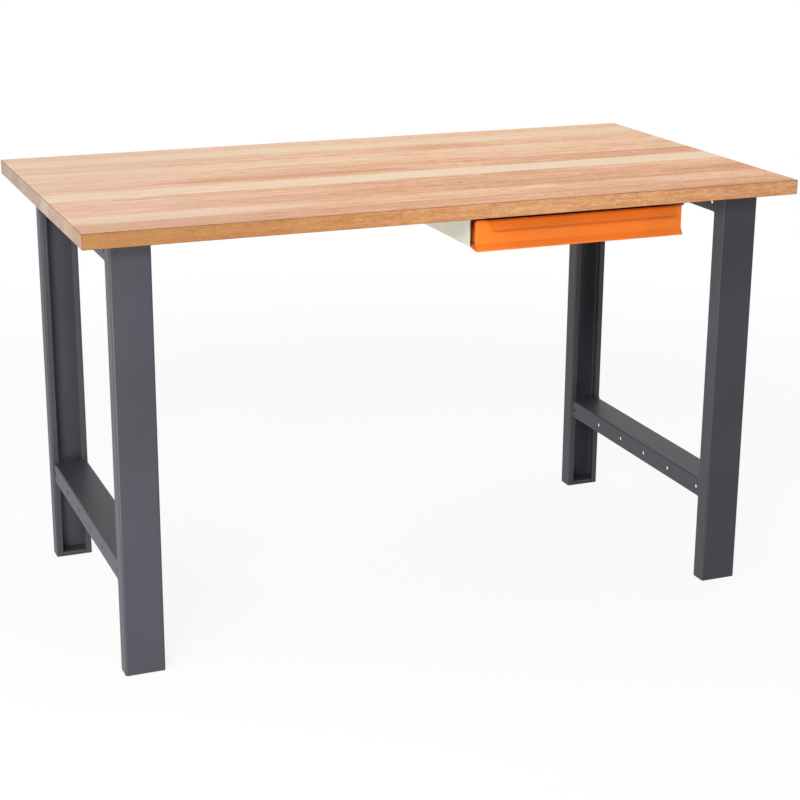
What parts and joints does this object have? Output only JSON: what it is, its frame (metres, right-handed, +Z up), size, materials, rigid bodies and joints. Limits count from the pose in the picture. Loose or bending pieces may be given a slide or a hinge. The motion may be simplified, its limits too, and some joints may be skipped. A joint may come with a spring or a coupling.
{
  "type": "workbench",
  "caption": "Workbench with an edge-glued beech worktop on welded steel leg frames with drilled cross rails, and a folded-sheet drawer on telescopic slides under the top.",
  "frame": {"origin": "on the floor, under the middle of the worktop", "axes": "+X along the worktop, +Y to the back, +Z up; the drawer opens towards -Y"},
  "size_m": [1.5, 0.8, 0.9],
  "materials": {
    "beech": "oiled, lengthwise staves",
    "frame_paint": "anthracite powder coat",
    "case_paint": "pale grey powder coat",
    "drawer_paint": "orange powder coat",
    "zinc": "bright zinc plate",
    "foot_plastic": "moulded black",
    "guide_plastic": "natural nylon"
  },
  "bodies": {
    "bench": {"worktop": "beech", "worktop_screws": "zinc", "case_screws": "zinc", "case_tie": "frame_paint", "case_rear": "case_paint", "leg_front_left": "frame_paint", "head_plate_front_left": "frame_paint", "foot_front_left": "foot_plastic", "leg_front_right": "frame_paint", "head_plate_front_right": "frame_paint", "foot_front_right": "foot_plastic", "leg_rear_left": "frame_paint", "head_plate_rear_left": "frame_paint", "foot_rear_left": "foot_plastic", "leg_rear_right": "frame_paint", "head_plate_rear_right": "frame_paint", "foot_rear_right": "foot_plastic", "lower_rail_left": "frame_paint", "upper_rail_left": "frame_paint", "case_side_left": "case_paint", "slide_outer_left": "zinc", "lower_rail_right": "frame_paint", "upper_rail_right": "frame_paint", "case_side_right": "case_paint", "slide_outer_right": "zinc"},
    "drawer": {"drawer_front": "drawer_paint", "drawer_bottom": "drawer_paint", "drawer_back": "drawer_paint", "drawer_side_left": "drawer_paint", "drawer_side_right": "drawer_paint", "slide_inner_left": "zinc", "slide_inner_right": "zinc"},
    "slide_left": {"slide_middle_left": "zinc", "slide_strips_left": "guide_plastic"},
    "slide_right": {"slide_middle_right": "zinc", "slide_strips_right": "guide_plastic"}
  },
  "joints": [
    {"name": "drawer_slide", "type": "slide", "parent": "bench", "child": "drawer", "axis": [0, -1, 0], "range_m": [0, 0.4]},
    {"name": "slide_left_travel", "type": "slide", "parent": "bench", "child": "slide_left", "axis": [0, -1, 0], "range_m": [0, 0.2]},
    {"name": "slide_right_travel", "type": "slide", "parent": "bench", "child": "slide_right", "axis": [0, -1, 0], "range_m": [0, 0.2]}
  ],
  "couplings": [
    {"joint": "slide_left_travel", "follows": "drawer_slide", "ratio": 0.5},
    {"joint": "slide_right_travel", "follows": "drawer_slide", "ratio": 0.5}
  ]
}
